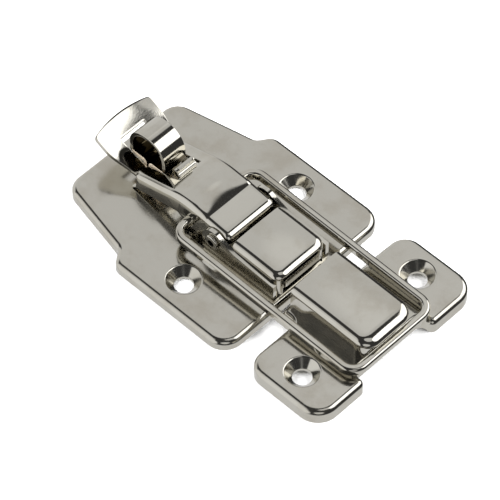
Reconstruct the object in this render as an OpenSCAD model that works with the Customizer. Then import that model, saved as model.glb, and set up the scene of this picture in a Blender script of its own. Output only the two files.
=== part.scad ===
// Over-centre draw latch with a padlock eye.
// X runs from the lever towards the catch, Y across the latch and Z up from the mounting face.
// The origin lies midway between the base plate's two screw holes, on the mounting face.

/* [Sheet] */
// Thickness of the two pressed plates
plate_sheet = 1.2; // [0.8:0.1:1.4]
// Thickness of the bracket, cover and hook sheet
fold_sheet = 1.1; // [0.8:0.1:1.3]
// Outer radius of the plates' rolled rims
rim_roll = 1.5; // [1.45:0.05:1.8]
// Outer radius of the shoulders of the cover and the hook
shoulder = 1.8; // [1.4:0.05:2]

/* [Base plate] */
// Height of the base plate
base_h = 3.3; // [3:0.1:4]
// Distance between the base plate's screw holes
base_hole_pitch = 40.4; // [38:0.1:44]
// Width across the base plate's ears
base_ear_w = 57.2; // [55:0.1:62]
// Width of the neck beside the ears
neck_w = 49.2; // [46:0.1:51]
// Width of the neck at its far end
neck_end_w = 38.8; // [35:0.1:42.6]
// Reach of the base plate towards the catch
base_near = 22.4; // [21.8:0.1:24]
// Reach of the ears towards the finger tab
ear_far = 15.9; // [13:0.1:18]
// Length in which the ears step in to the neck
ear_step = 2.8; // [2:0.1:4]
// Reach of the neck towards the finger tab
neck_far = 42.5; // [40:0.1:46]
// Corner radius of the ears on the catch side
ear_round = 5.5; // [4:0.1:6.5]

/* [Screw holes] */
// Diameter of a screw hole
hole_d = 5; // [4:0.1:5.4]
// Diameter of a dimple at the plate's face
dimple_d = 9.2; // [8.6:0.1:10]
// Depth of a dimple
dimple_depth = 2.1; // [1.6:0.1:2.2]

/* [Catch] */
// Height of the catch plate
catch_h = 4.4; // [4:0.1:5]
// Width across the catch plate's ears
catch_ear_w = 57; // [55:0.1:62]
// Distance between the catch plate's screw holes
catch_hole_pitch = 41.4; // [38:0.1:44]
// Place of the catch plate's screw holes
catch_hole_x = 41; // [40:0.1:42]
// Reach of the catch ears towards the base plate
catch_far = 29.3; // [28:0.1:31]
// Reach of the tongue towards the base plate
tongue_far = 24.5; // [24:0.1:25.2]
// Width of the tongue
tongue_w = 22; // [20:0.1:24]
// Far side of the catch plate
catch_near = 54; // [53:0.1:56]
// Width of the notch under the loop
notch_w = 24; // [22:0.1:25]
// Depth of the notch
notch_depth = 4; // [3.8:0.1:4.6]

/* [Hook] */
// Height of the hook's top
hook_top = 12; // [11:0.1:13]
// Width of the hook
hook_w = 17.6; // [15.4:0.1:18.4]
// Open end of the hook, beside the cover
hook_far = 25.6; // [25.3:0.1:27]
// Where the hook's flat top ends
hook_near = 49.75; // [48.6:0.05:49.9]
// Outer radius of the hook's front edge
hook_roll = 1.7; // [1.3:0.05:1.8]
// Slope of the hook's front wall from upright
hook_slope = 30; // [25:1:35]
// Plan radius of the hook's front corners
hook_corner = 2.5; // [1.5:0.1:3]

/* [Pivot] */
// Height of the lever's pivot
pivot_z = 9; // [8.6:0.1:9.4]
// Radius of the pivot ears
ear_r = 3.6; // [3:0.1:3.8]
// Outer radius of the hollow pivot pin
pin_r = 1.6; // [1.3:0.05:1.8]
// Radius of the pin's bore
pin_bore_r = 0.95; // [0.6:0.05:1.1]
// Radius of the pin's heads
pin_head_r = 2.2; // [2:0.05:2.6]
// Thickness of the pin's heads
pin_head_t = 0.8; // [0.5:0.05:1]
// Clearance between the pin and the lever
pin_play = 0.05; // [0.02:0.01:0.1]
// Clearance between the lever and the bracket on each side
lever_side_play = 0.3; // [0.2:0.05:0.5]

/* [Bracket and cover] */
// Width across the bracket's flanges
bracket_w = 19.8; // [18:0.1:20.4]
// Near end of the bracket
bracket_near = 20.8; // [20:0.1:21]
// Height of the flanges at their near end
flange_near_h = 9; // [8:0.1:9.6]
// Height of the flanges beside the pivot ears
flange_far_h = 9.9; // [9.4:0.1:10.4]
// Height of the cover's top
cover_top = 12.1; // [11:0.1:13]
// Far end of the cover, beside the lever's lip
cover_far = 5.6; // [5.4:0.1:6.4]
// Near end of the cover
cover_near = 21.7; // [21.2:0.1:22]
// Outer radius of the cover's near edge
cover_roll = 2.2; // [1.6:0.1:2.4]
// Height of the cover's front flap
flap_h = 5; // [3:0.1:6]
// Width left standing beside the front opening on each side
flap_post = 1.7; // [1.2:0.1:2.5]

/* [Lever] */
// Thickness of the lever's sheet
lever_sheet = 1.1; // [0.8:0.1:1.3]
// Outer radius of the lever's shoulders
lever_shoulder = 1.6; // [1.4:0.05:1.65]
// Front face of the lip
lip_front = 4.3; // [4:0.1:4.5]
// Radius of the lip's front edge
lip_roll = 2.2; // [2:0.1:2.4]
// Height of the lip at its front
lip_h = 12.3; // [12:0.1:12.6]
// Distance from the pivot to the crease behind the lip
crease_x = 3.8; // [3.4:0.1:4.2]
// Height of the crease
crease_h = 13.1; // [12.9:0.1:13.4]
// Slope of the back up from the crease
rise_angle = 18; // [15:1:20]
// Slope of the back down to the finger tab
fall_angle = 19.4; // [18:0.1:21]
// Radius of the back's hump
hump_r = 20; // [14:0.5:20]
// Distance from the pivot to the bend of the finger tab
tab_bend_x = 30.4; // [29.5:0.1:31]
// Slope of the finger tab
tab_angle = 23; // [18:1:28]
// Radius of the tab's bend
tab_bend_r = 4; // [2:0.5:6]
// Reach of the finger tab from the pivot
tab_reach = 43.4; // [42:0.1:46]
// Width of the finger tab
tab_w = 19.2; // [18:0.1:21]
// Radius of the tab's end
tab_end_r = 30; // [20:1:40]
// Radius of the tab's two corners
tab_corner = 1; // [0.6:0.1:1.6]
// How far the tab's root is set in from the channel's side
root_step = 0.6; // [0.3:0.1:0.8]
// Width of the slot round the padlock eye
slot_w = 8.4; // [8.2:0.1:9.4]
// Near end of the slot, from the pivot
slot_near = 18.8; // [17:0.1:20]
// Far end of the slot, from the pivot
slot_far = 38.2; // [37:0.1:39]
// Width of the curl at the slot's near end
curl_w = 6.6; // [5:0.1:8]
// Radius of the curl
curl_r = 2; // [1.5:0.1:2.5]

/* [Loop] */
// Distance from the pivot to the loop's far bar
bar_x = 9.4; // [8.6:0.1:10]
// How far the far bar lies below the pivot
bar_drop = 1; // [0.6:0.1:1.6]
// Radius of the far bar
bar_r = 1.4; // [1.2:0.05:1.5]
// Distance from the end of the hook's flat top to the near bar's middle
near_bar_reach = 1.95; // [1.9:0.05:2.9]
// Height of the near bar's middle
near_bar_z = 6.6; // [6.3:0.1:7]
// Width across the loop
loop_w = 30.4; // [29.6:0.1:32]
// Width of the loop's rod
rod_w = 2.2; // [1.8:0.1:2.3]
// Height of the loop's rod
rod_h = 2.8; // [2.4:0.1:3]
// Edge radius of the loop's rod
rod_edge = 0.8; // [0.5:0.05:0.95]
// Outer corner radius of the loop
loop_round = 4.8; // [4:0.1:5]

/* [Padlock staple] */
// Distance from the pivot to the middle of the eye
eye_x = 29.1; // [28.6:0.1:29.4]
// Height of the middle of the eye
eye_z = 13.1; // [12.8:0.1:13.4]
// Clear radius of the eye
eye_r = 5.2; // [4.8:0.1:5.2]
// Thickness of the staple's strip
strip_t = 1.1; // [0.8:0.05:1.1]
// Width of the staple's strip
strip_w = 7.4; // [6:0.1:7.5]
// Length of a foot under the plate
foot_len = 4; // [2.5:0.1:5]

/* [Hidden] */
$fn = 64;
// Gap round a piece that is staked into its slot
stake_gap = 0.05;
// Seam between the staple's two legs
seam = 0.12;
// Length added to a cut so that it passes clean through
cut = 1;
far_off = 200;

rim_w = 3.5;
roll_steps = 8;
rim_land = 0.6;
corner_steps = 10;
ear_far_round = 3.5;
step_round = 2.5;
neck_round = 5;
catch_far_round = 5;
catch_near_round = 6;
small_round = 1.6;
inner_round = 2;
// Sheet left round a dimple's foot, and the flat ring round its mouth
dimple_foot = 0.5;
dimple_ring = 1;

base_outline = [
    [base_near, -base_ear_w / 2, ear_round],
    [base_near, base_ear_w / 2, ear_round],
    [-ear_far, base_ear_w / 2, ear_far_round],
    [-ear_far - ear_step, neck_w / 2, step_round],
    [-neck_far, neck_end_w / 2, neck_round],
    [-neck_far, -neck_end_w / 2, neck_round],
    [-ear_far - ear_step, -neck_w / 2, step_round],
    [-ear_far, -base_ear_w / 2, ear_far_round]];

catch_outline = [
    [catch_near, notch_w / 2, small_round],
    [catch_near, catch_ear_w / 2, catch_near_round],
    [catch_far, catch_ear_w / 2, catch_far_round],
    [catch_far, tongue_w / 2, inner_round],
    [tongue_far, tongue_w / 2, small_round],
    [tongue_far, -tongue_w / 2, small_round],
    [catch_far, -tongue_w / 2, inner_round],
    [catch_far, -catch_ear_w / 2, catch_far_round],
    [catch_near, -catch_ear_w / 2, catch_near_round],
    [catch_near, -notch_w / 2, small_round],
    [catch_near - notch_depth, -notch_w / 2, inner_round],
    [catch_near - notch_depth, notch_w / 2, inner_round]];

bracket_half = bracket_w / 2;
cover_half = bracket_half - fold_sheet;
lever_half = cover_half - lever_side_play;
bracket_far = ear_r;
bracket_floor = base_h + fold_sheet;
bracket_floor_far = 6;
bracket_fold = 1.5;
ear_foot = 1.4;

// The lever's upper side, from the foot of its lip to the end of its tab
lip_foot_z = 9.6;
crease_round = 0.6;
bend_z = 8.45;
hump_x = (crease_h - crease_x * tan(rise_angle) - bend_z - tab_bend_x * tan(fall_angle))
    / (tan(rise_angle) + tan(fall_angle));
hump_z = crease_h + tan(rise_angle) * (-crease_x - hump_x);
tab_run = tab_reach - tab_bend_x;
lever_path = [
    [lip_front, lip_foot_z, 0],
    [lip_front, lip_h, lip_roll],
    [-crease_x, crease_h, crease_round],
    [hump_x, hump_z, hump_r],
    [-tab_bend_x, bend_z, tab_bend_r],
    [-tab_reach, bend_z + tab_run * tan(tab_angle), 0]];
// Depth of the shoulder strip that is carried along the lever, and of the flanges' hidden upper edge
strip_depth = min(lever_shoulder + 0.5, lip_roll - 0.1);
flange_top = lever_shoulder + 0.25;
shoulder_steps = 5;
tab_edge = 0.2;
blend_len = 3;
flare_len = 5;

bar = [-bar_x, pivot_z - bar_drop];
pivot = [0, pivot_z];
pivot_lug_r = 3.2;
bar_lug_r = 2.7;
lug_lap = 0.05;
// Far end of the flange's lower edge, and where that edge turns up beside the loop's bar
skirt_end_z = base_h + 0.3;
skirt_turn = [-4.4, -0.4];

near_bar_x = hook_near + near_bar_reach;
loop_tilt = atan2(bar[1] - near_bar_z, near_bar_x + bar_x);
loop_len = norm([near_bar_x + bar_x, bar[1] - near_bar_z]);
hook_half = hook_w / 2;
// Stakes that hold the hook to the catch plate: how far they are set in from its ends, and their length
stake_set = 3.3;
stake_len = (hook_near - hook_far) / 4;
stake_far_end = hook_far + stake_set;
stake_near_end = hook_near - stake_set - stake_len;
// How far a stake stands out below the plate
stake_over = 0.4;

nickel = [0.74, 0.73, 0.71];

// Geometry of an outline whose corners are [x, y, radius]
function unit(v) = v / norm(v);
function left(v) = [-v[1], v[0]];
function xy(p) = [p[0], p[1]];
function heading(v) = atan2(v[1], v[0]);
function leaving(c, i) = unit(xy(c[(i + 1) % len(c)]) - xy(c[i]));
function entering(c, i) = leaving(c, (i + len(c) - 1) % len(c));
// Turn at a corner, positive where the path bends to its left
function turn(c, i) =
    let (a = entering(c, i), b = leaving(c, i)) atan2(a[0] * b[1] - a[1] * b[0], a * b);
function trim(c, i) = c[i][2] == 0 ? 0 : c[i][2] * tan(abs(turn(c, i)) / 2);
function arc_start(c, i) = xy(c[i]) - trim(c, i) * entering(c, i);
function arc_end(c, i) = xy(c[i]) + trim(c, i) * leaving(c, i);
function arc_centre(c, i) = arc_start(c, i) + sign(turn(c, i)) * c[i][2] * left(entering(c, i));

// Flat area inside an outline, set in by d, for a plate whose rim covers the rest
function inset(c, d) = [for (i = [0 : len(c) - 1])
    let (a = left(entering(c, i)), b = left(leaving(c, i)))
    each turn(c, i) > 0 ? [xy(c[i]) + d * (a + b) / (1 + a * b)]
        : [arc_start(c, i) + d * a, arc_end(c, i) + d * b]];

// Points of an open path, moved d to its left, with each bend in a few steps
function moved_path(c, d, last, steps = 8) = [for (i = [0 : last])
    let (r = c[i][2], bend = turn(c, i), side = sign(bend))
    each r == 0 ? [xy(c[i]) + d * left(leaving(c, i))]
        : [for (k = [0 : steps])
            let (a = heading(entering(c, i)) - 90 * side + bend * k / steps)
            arc_centre(c, i) + max(0.02, r - side * d) * [cos(a), sin(a)]]];

// Carries a section along the straight that follows corner i; the section's x points left of the path
module along_edge(c, i) {
    a = arc_end(c, i);
    b = arc_start(c, (i + 1) % len(c));
    translate(a) rotate([0, 0, heading(b - a)]) rotate([90, 0, 90]) linear_extrude(norm(b - a)) children();
}

// Carries the same section round corner i
module round_corner(c, i) {
    r = c[i][2];
    bend = turn(c, i);
    from = heading(entering(c, i)) + (bend > 0 ? -90 : 90 + bend);
    translate(arc_centre(c, i)) rotate([0, 0, from]) rotate_extrude(angle = abs(bend))
        if (bend > 0) {
            intersection() {
                translate([r, 0]) mirror([1, 0]) children();
                translate([0, -far_off]) square([2 * far_off, 2 * far_off]);
            }
        } else {
            translate([r, 0]) children();
        }
}

// Section of a sheet that is rolled over at its edge into an upright skirt
module rolled_rim(height) {
    square([plate_sheet, height - rim_roll]);
    translate([rim_roll, height - plate_sheet]) square([rim_w - rim_roll, plate_sheet]);
    translate([rim_roll, height - rim_roll]) intersection() {
        difference() {
            circle(rim_roll);
            circle(rim_roll - plate_sheet);
        }
        translate([-rim_roll, 0]) square(rim_roll);
    }
}

// Pressed plate with a rolled rim all round, for an outline whose sides are square to each other
module pressed_plate(outline, height) {
    translate([0, 0, height - plate_sheet]) linear_extrude(plate_sheet) polygon(inset(outline, rim_w));
    for (i = [0 : len(outline) - 1]) {
        along_edge(outline, i) rolled_rim(height);
        round_corner(outline, i) rolled_rim(height);
    }
}

// Half of a rolled rim as [depth, height] points, from the skirt's edge to a narrow strip of the flat
function roll_points(height, depth, radius) = concat([[depth, 0]],
    [for (k = [0 : roll_steps]) let (a = 90 * k / roll_steps)
        [rim_roll - radius * cos(a), height - rim_roll + radius * sin(a)]],
    [[rim_roll + rim_land, height - rim_roll + radius]]);

// Pressed plate with a rolled rim, for an outline with slanting sides
module slanted_plate(outline, height) {
    places = [for (i = [0 : len(outline) - 1]) each bend_places(outline, i, corner_steps, 0)];
    n = len(places);
    chain = concat(roll_points(height, 0, rim_roll),
        roll_points(height, plate_sheet, rim_roll - plate_sheet));
    m = len(chain);
    h = m / 2;
    points = [for (q = chain, place = places)
        [place[0][0] + q[0] * place[1][0], place[0][1] + q[0] * place[1][1], q[1]]];
    function row(j, up) = [for (i = [0 : n - 1]) let (k = (i + 1) % n)
        each up ? [[j * n + i, (j + 1) * n + i, (j + 1) * n + k], [j * n + i, (j + 1) * n + k, j * n + k]]
            : [[j * n + i, j * n + k, (j + 1) * n + k], [j * n + i, (j + 1) * n + k, (j + 1) * n + i]]];
    outside = [for (j = [0 : h - 2]) each row(j, true)];
    inside = [for (j = [h : m - 2]) each row(j, false)];
    foot = [for (i = [0 : n - 1]) let (k = (i + 1) % n)
        each [[i, k, h * n + k], [i, h * n + k, h * n + i]]];
    top = [for (i = [n - 1 : -1 : 0]) (h - 1) * n + i];
    under = [for (i = [0 : n - 1]) (m - 1) * n + i];
    polyhedron(points, concat(outside, inside, foot, [top, under]));
}

// Sheet of a dimple: a cone that ends in a short upright wall round the screw hole
module dimple(height) {
    hole_r = hole_d / 2;
    rim_r = dimple_d / 2;
    floor_z = height - dimple_depth;
    under = floor_z - plate_sheet;
    rotate_extrude() polygon([
        [hole_r, under], [hole_r + dimple_foot, under], [rim_r + dimple_foot, height - plate_sheet],
        [rim_r + dimple_ring, height - plate_sheet], [rim_r + dimple_ring, height], [rim_r, height],
        [hole_r, floor_z]]);
}

// Plate with a dimpled screw hole on each side
module dimpled(at_x, pitch, height) {
    difference() {
        children();
        for (side = [-1, 1]) translate([at_x, side * pitch / 2, -cut])
            cylinder(r = (dimple_d + dimple_ring + dimple_foot) / 2, h = height + 2 * cut);
    }
    for (side = [-1, 1]) translate([at_x, side * pitch / 2, 0]) dimple(height);
}

module base_plate() color(nickel) difference() {
    dimpled(0, base_hole_pitch, base_h) slanted_plate(base_outline, base_h);
    translate([-eye_x - strip_t - seam / 2 - stake_gap, -strip_w / 2 - stake_gap, 0])
        cube([2 * (strip_t + stake_gap) + seam, strip_w + 2 * stake_gap, base_h + cut]);
}

// Upright outline of a bracket flange with its pivot ear, whose round top is cut from a square corner
module flange_outline() {
    ear_end = 0.6 * ear_r;
    difference() {
        polygon([[-ear_r, base_h], [-ear_r, pivot_z + ear_r], [ear_end, pivot_z + ear_r],
            [ear_end, pivot_z + 0.8 * ear_r], [cover_far + ear_foot, flange_far_h],
            [bracket_near, flange_near_h], [bracket_near, base_h]]);
        difference() {
            translate([-ear_r - cut, pivot_z]) square([ear_r + cut + ear_end, ear_r + cut]);
            translate(pivot) circle(ear_r);
        }
    }
}

// Half-round-cornered channel section, open upwards, in Y and Z
module bracket_section() difference() {
    union() {
        translate([-bracket_half, base_h + bracket_fold]) square([bracket_w, pivot_z + ear_r]);
        translate([bracket_fold - bracket_half, base_h])
            square([bracket_w - 2 * bracket_fold, bracket_fold]);
        for (side = [-1, 1]) translate([side * (bracket_half - bracket_fold), base_h + bracket_fold])
            circle(bracket_fold);
    }
    translate([-cover_half, bracket_floor]) square([2 * cover_half, pivot_z + 2 * ear_r]);
}

module pivot_bracket() color(nickel) difference() {
    intersection() {
        rotate([90, 0, 90]) translate([0, 0, -bracket_far]) linear_extrude(bracket_far + bracket_near)
            bracket_section();
        rotate([90, 0, 0]) linear_extrude(bracket_w + 2 * cut, center = true) flange_outline();
    }
    translate([-bracket_far - cut, -cover_half, base_h - cut])
        cube([bracket_floor_far + bracket_far + cut, 2 * cover_half, 2 * cut + fold_sheet]);
    translate([0, 0, pivot_z]) rotate([90, 0, 0])
        cylinder(r = pin_r + pin_play / 2, h = bracket_w + 2 * cut, center = true);
}

// Outline of a box seen from its end, with round upper shoulders
module shouldered(half, top, bottom, round) {
    translate([-half, bottom]) square([2 * half, top - round - bottom]);
    translate([round - half, bottom]) square([2 * (half - round), top - bottom]);
    for (side = [-1, 1]) translate([side * (half - round), top - round]) circle(round);
}

// Solid box with round shoulders on its sides and a rounder edge over its near end
module cover_form(half, far, near, top, bottom, round, roll) intersection() {
    rotate([90, 0, 90]) translate([0, 0, far]) linear_extrude(near - far)
        shouldered(half, top, bottom, round);
    rotate([90, 0, 0]) linear_extrude(2 * half + 2 * cut, center = true) {
        translate([far - cut, bottom]) square([near - far + cut - roll, top - bottom]);
        translate([far - cut, bottom]) square([near - far + cut, top - roll - bottom]);
        translate([near - roll, top - roll]) circle(roll);
    }
}

module housing_cover() color(nickel) {
    foot = bracket_floor + stake_gap;
    difference() {
        cover_form(cover_half, cover_far, cover_near, cover_top, foot, shoulder, cover_roll);
        cover_form(cover_half - fold_sheet, cover_far - cut, cover_near - fold_sheet,
            cover_top - fold_sheet, foot - cut, shoulder - fold_sheet, cover_roll - fold_sheet);
        translate([cover_near - fold_sheet - cover_roll, flap_post - cover_half, foot - cut])
            cube([fold_sheet + cover_roll + cut, 2 * (cover_half - flap_post),
                cover_top - flap_h - foot + cut]);
    }
}

module pivot_pin() color(nickel) translate([0, 0, pivot_z]) rotate([90, 0, 0]) difference() {
    union() {
        cylinder(r = pin_r, h = bracket_w, center = true);
        for (side = [-1, 1]) translate([0, 0, side * (bracket_w + pin_head_t) / 2]) {
            cylinder(r = pin_head_r - pin_head_t / 2, h = pin_head_t, center = true);
            rotate_extrude() translate([pin_head_r - pin_head_t / 2, 0]) circle(pin_head_t / 2);
        }
    }
    cylinder(r = pin_bore_r, h = bracket_w + 2 * pin_head_t + 2 * cut, center = true);
}

// One half of the lever's section as [depth, width] points, from the flange's edge to the flat web:
// round shoulders along the back, a plain strip on the tab, and a blend of the two where they meet
function shoulder_angle(k) = 90 * (k - 1) / shoulder_steps;
function outer_back(k, half) = k == 0 ? [strip_depth, half]
    : [lever_shoulder * (1 - sin(shoulder_angle(k))), half - lever_shoulder * (1 - cos(shoulder_angle(k)))];
function inner_back(k, half) = let (r = lever_shoulder - lever_sheet)
    k == 0 ? [strip_depth, half - lever_sheet]
        : [lever_shoulder - r * sin(shoulder_angle(k)), half - lever_shoulder + r * cos(shoulder_angle(k))];
function outer_tab(k, half) = k == 0 ? [0.7 * lever_sheet, half]
    : k == 1 ? [0.35 * lever_sheet, half] : [0, half - lever_shoulder * (k - 2) / (shoulder_steps - 1)];
function inner_tab(k, half) = k == 0 ? [lever_sheet, half]
    : [lever_sheet, half - tab_edge - (lever_shoulder - tab_edge) * (k - 1) / shoulder_steps];
function outer_half(k, flat, half) = (1 - flat) * outer_back(k, half) + flat * outer_tab(k, half);
function inner_half(k, flat, half) = (1 - flat) * inner_back(k, half) + flat * inner_tab(k, half);
function lever_loop(flat, half) = let (n = shoulder_steps + 1) concat(
    [for (k = [0 : n]) outer_half(k, flat, half)],
    [for (k = [n : -1 : 0]) let (q = outer_half(k, flat, half)) [q[0], -q[1]]],
    [for (k = [0 : n]) let (q = inner_half(k, flat, half)) [q[0], -q[1]]],
    [for (k = [n : -1 : 0]) inner_half(k, flat, half)]);

// Places along the lever as [point, downward normal, share of tab section, half width]
function bend_places(c, i, steps, flat, half = lever_half) = [for (k = [0 : steps])
    let (bend = turn(c, i), a = heading(entering(c, i)) - 90 * sign(bend) + bend * k / steps,
        out = [cos(a), sin(a)])
    [arc_centre(c, i) + c[i][2] * out, -sign(bend) * out, flat, half]];
lever_places = let (c = lever_path, down = left(entering(c, 4)), tab = leaving(c, 4)) concat(
    [[xy(c[0]), left(leaving(c, 0)), 0, lever_half]],
    bend_places(c, 1, 6, 0),
    bend_places(c, 2, 2, 0),
    bend_places(c, 3, 12, 0),
    [[arc_start(c, 4) - blend_len * entering(c, 4), down, 0, lever_half]],
    bend_places(c, 4, 6, 1, lever_half - root_step),
    [[arc_end(c, 4) + flare_len * tab, left(tab), 1, tab_w / 2],
        [xy(c[5]) + cut * tab, left(tab), 1, tab_w / 2]]);

// Sheet of the lever's back, lip and tab
module lever_skin() {
    n = len(lever_places);
    m = 4 * (shoulder_steps + 2);
    points = [for (place = lever_places, q = lever_loop(place[2], place[3]))
        [place[0][0] + q[0] * place[1][0], q[1], place[0][1] + q[0] * place[1][1]]];
    sides = [for (i = [0 : n - 2], j = [0 : m - 1])
        let (a = i * m + j, b = i * m + (j + 1) % m) each [[a, b, b + m], [a, b + m, a + m]]];
    first_end = [for (k = [0 : m / 2 - 2]) each [[k, m - 1 - k, m - 2 - k], [k, m - 2 - k, k + 1]]];
    last_end = [for (f = first_end) [f[2], f[1], f[0]] + (n - 1) * m * [1, 1, 1]];
    polyhedron(points, concat(sides, first_end, last_end));
}

// Point just inside a lug's round edge
function on_lug(centre, r, angle) = centre + (r - lug_lap) * [cos(angle), sin(angle)];

// Outline of one lever flange, with lugs round the pivot and the loop's bar
module lever_flange_outline() {
    top = moved_path(lever_path, flange_top, 3);
    slope = entering(lever_path, 4);
    end = arc_start(lever_path, 4);
    far = [end - blend_len * slope + flange_top * left(slope), end + 0.8 * lever_sheet * left(slope)];
    polygon(concat(top, far, [[-tab_bend_x, skirt_end_z], bar + skirt_turn,
        on_lug(bar, bar_lug_r, 233), bar, on_lug(bar, bar_lug_r, 279),
        on_lug(pivot, pivot_lug_r, 259), pivot, on_lug(pivot, pivot_lug_r, 314), [lip_front, lip_foot_z]]));
    translate(pivot) circle(pivot_lug_r);
    translate(bar) circle(bar_lug_r);
}

// What is cut away to round the end of the finger tab and its two corners
module tab_end_cut() linear_extrude(far_off) difference() {
    translate([-tab_reach - 2 * cut, -tab_w]) square([6 * cut, 2 * tab_w]);
    offset(r = tab_corner, $fn = 48) offset(delta = -tab_corner) intersection() {
        translate([tab_end_r - tab_reach, 0]) circle(tab_end_r, $fn = 180);
        translate([-tab_reach - cut, -tab_w / 2]) square([tab_reach, tab_w]);
    }
}

// Curl at the slot's near end, turned up from the sloping back
module curl() {
    on_back = [-slot_near, bend_z + (tab_bend_x - slot_near) * tan(fall_angle)];
    centre = on_back + curl_r * [-sin(fall_angle), cos(fall_angle)];
    sweep = fall_angle + 45;
    translate(centre) rotate([0, 0, 270 + fall_angle - sweep])
        rotate_extrude(angle = sweep) translate([curl_r, -curl_w / 2]) square([lever_sheet, curl_w]);
}

module lever() color(nickel) difference() {
    union() {
        difference() {
            lever_skin();
            translate([-slot_far, -slot_w / 2, 0]) cube([slot_far - slot_near, slot_w, far_off]);
            tab_end_cut();
        }
        rotate([90, 0, 0]) {
            for (side = [0, 1]) mirror([0, 0, side]) translate([0, 0, lever_half - lever_sheet])
                linear_extrude(lever_sheet) lever_flange_outline();
            curl();
        }
    }
    rotate([90, 0, 0]) {
        translate(pivot) cylinder(r = pin_r + pin_play, h = far_off, center = true);
        translate(bar) cylinder(r = bar_r + pin_play, h = far_off, center = true);
    }
}

// Section of the loop's rod, with round edges
module rod_section() {
    for (flat = [[rod_w - 2 * rod_edge, rod_h], [rod_w, rod_h - 2 * rod_edge]]) square(flat, center = true);
    for (x = [-1, 1], y = [-1, 1]) translate([x * (rod_w / 2 - rod_edge), y * (rod_h / 2 - rod_edge)])
        circle(rod_edge);
}

module bail_loop() color(nickel) translate([-bar_x, 0, bar[1]]) rotate([0, loop_tilt, 0]) {
    half = (loop_w - rod_w) / 2;
    round = loop_round - rod_w / 2;
    ring = [[loop_len, -half, round], [loop_len, half, round], [0, half, round], [0, -half, round]];
    for (i = [0 : 3]) round_corner(ring, i) rod_section();
    for (i = [3, 0, 1]) along_edge(ring, i) rod_section();
    rotate([90, 0, 0]) cylinder(r = bar_r, h = 2 * (half - round), center = true);
}

module padlock_staple() color(nickel) translate([-eye_x, 0, 0]) {
    leg_top = eye_z - eye_r - strip_t / 2;
    under = base_h - plate_sheet - strip_t - stake_gap;
    difference() {
        union() {
            translate([0, 0, eye_z]) rotate([90, 0, 0]) rotate_extrude()
                translate([eye_r, -strip_w / 2]) square([strip_t, strip_w]);
            translate([-strip_t - seam / 2, -strip_w / 2, under])
                cube([2 * strip_t + seam, strip_w, leg_top - under]);
        }
        translate([-seam / 2, -strip_w, under - cut]) cube([seam, 2 * strip_w, eye_z - under]);
    }
    for (side = [0, 1]) mirror([side, 0, 0]) translate([strip_t + seam / 2, -strip_w / 2, under])
        cube([foot_len, strip_w, strip_t]);
}

// Tabs of the hook's side walls, grown by a gap where they cut their own slots
module stakes(gap) for (side = [0, 1], x = [stake_far_end, stake_near_end]) mirror([0, side, 0])
    translate([x - gap, hook_half - fold_sheet - gap, catch_h - plate_sheet - stake_over])
        cube([stake_len + 2 * gap, fold_sheet + 2 * gap, plate_sheet + stake_over + gap]);

module catch_plate() color(nickel) difference() {
    dimpled(catch_hole_x, catch_hole_pitch, catch_h) pressed_plate(catch_outline, catch_h);
    stakes(stake_gap);
}

// Hook seen from its side: flat top, round front edge and a front wall that slopes back
module hook_side(far, near, top, bottom, round) {
    edge = [near, top - round];
    foot = edge + round * [cos(hook_slope), -sin(hook_slope)];
    run = (foot[1] - bottom) * tan(hook_slope);
    translate(edge) circle(round);
    polygon([[far, bottom], [foot[0] - run, bottom], foot, edge, [near, top], [far, top]]);
}

module hook_form(half, far, top, bottom, round, shoulder_r) intersection() {
    rotate([90, 0, 90]) translate([0, 0, far]) linear_extrude(catch_near - far)
        shouldered(half, top, bottom, shoulder_r);
    rotate([90, 0, 0]) linear_extrude(2 * half + 2 * cut, center = true)
        hook_side(far - cut, hook_near, top, bottom, round);
}

module catch_hook() color(nickel) {
    front = hook_near + hook_roll;
    difference() {
        hook_form(hook_half, hook_far, hook_top, catch_h, hook_roll, shoulder);
        hook_form(hook_half - fold_sheet, hook_far - cut, hook_top - fold_sheet, catch_h - cut,
            hook_roll - fold_sheet, shoulder - fold_sheet);
        for (side = [0, 1]) mirror([0, side, 0]) difference() {
            translate([front - hook_corner, hook_half - hook_corner, catch_h - cut])
                cube([hook_corner + cut, hook_corner + cut, hook_top]);
            translate([front - hook_corner, hook_half - hook_corner, 0])
                cylinder(r = hook_corner, h = hook_top + cut);
        }
    }
    stakes(0);
}

base_plate();
pivot_bracket();
housing_cover();
pivot_pin();
lever();
bail_loop();
padlock_staple();
catch_plate();
catch_hook();
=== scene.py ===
"""Looks of an over-centre draw latch in bright nickel plate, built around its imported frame."""

import math

import bmesh
import bpy
import numpy as np
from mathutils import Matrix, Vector, geometry


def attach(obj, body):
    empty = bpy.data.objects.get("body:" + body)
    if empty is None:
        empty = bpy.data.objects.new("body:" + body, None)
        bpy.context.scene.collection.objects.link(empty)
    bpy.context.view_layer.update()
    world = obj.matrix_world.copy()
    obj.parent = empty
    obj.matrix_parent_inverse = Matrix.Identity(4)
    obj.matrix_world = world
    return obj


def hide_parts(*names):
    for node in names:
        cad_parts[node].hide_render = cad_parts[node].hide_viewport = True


bl_info = {
    "name": "Draw Latch Looks",
    "version": (1, 0, 0),
    "blender": (4, 5, 0),
    "location": "3D View > Sidebar > Latch",
    "description": "Dresses a draw latch in bright nickel plate and sets a pale stage",
    "category": "Object",
}

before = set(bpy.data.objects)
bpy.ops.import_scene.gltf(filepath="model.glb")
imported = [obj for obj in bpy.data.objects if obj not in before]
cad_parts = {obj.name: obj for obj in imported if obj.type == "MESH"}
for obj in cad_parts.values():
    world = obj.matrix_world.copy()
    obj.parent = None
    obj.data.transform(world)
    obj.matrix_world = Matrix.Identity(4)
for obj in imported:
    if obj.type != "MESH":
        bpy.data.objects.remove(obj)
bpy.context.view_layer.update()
MM = 0.001
IMAGE_PX = 500
SENSOR_MM = 36.0
JOIN_DISTANCE = 2e-6

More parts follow.
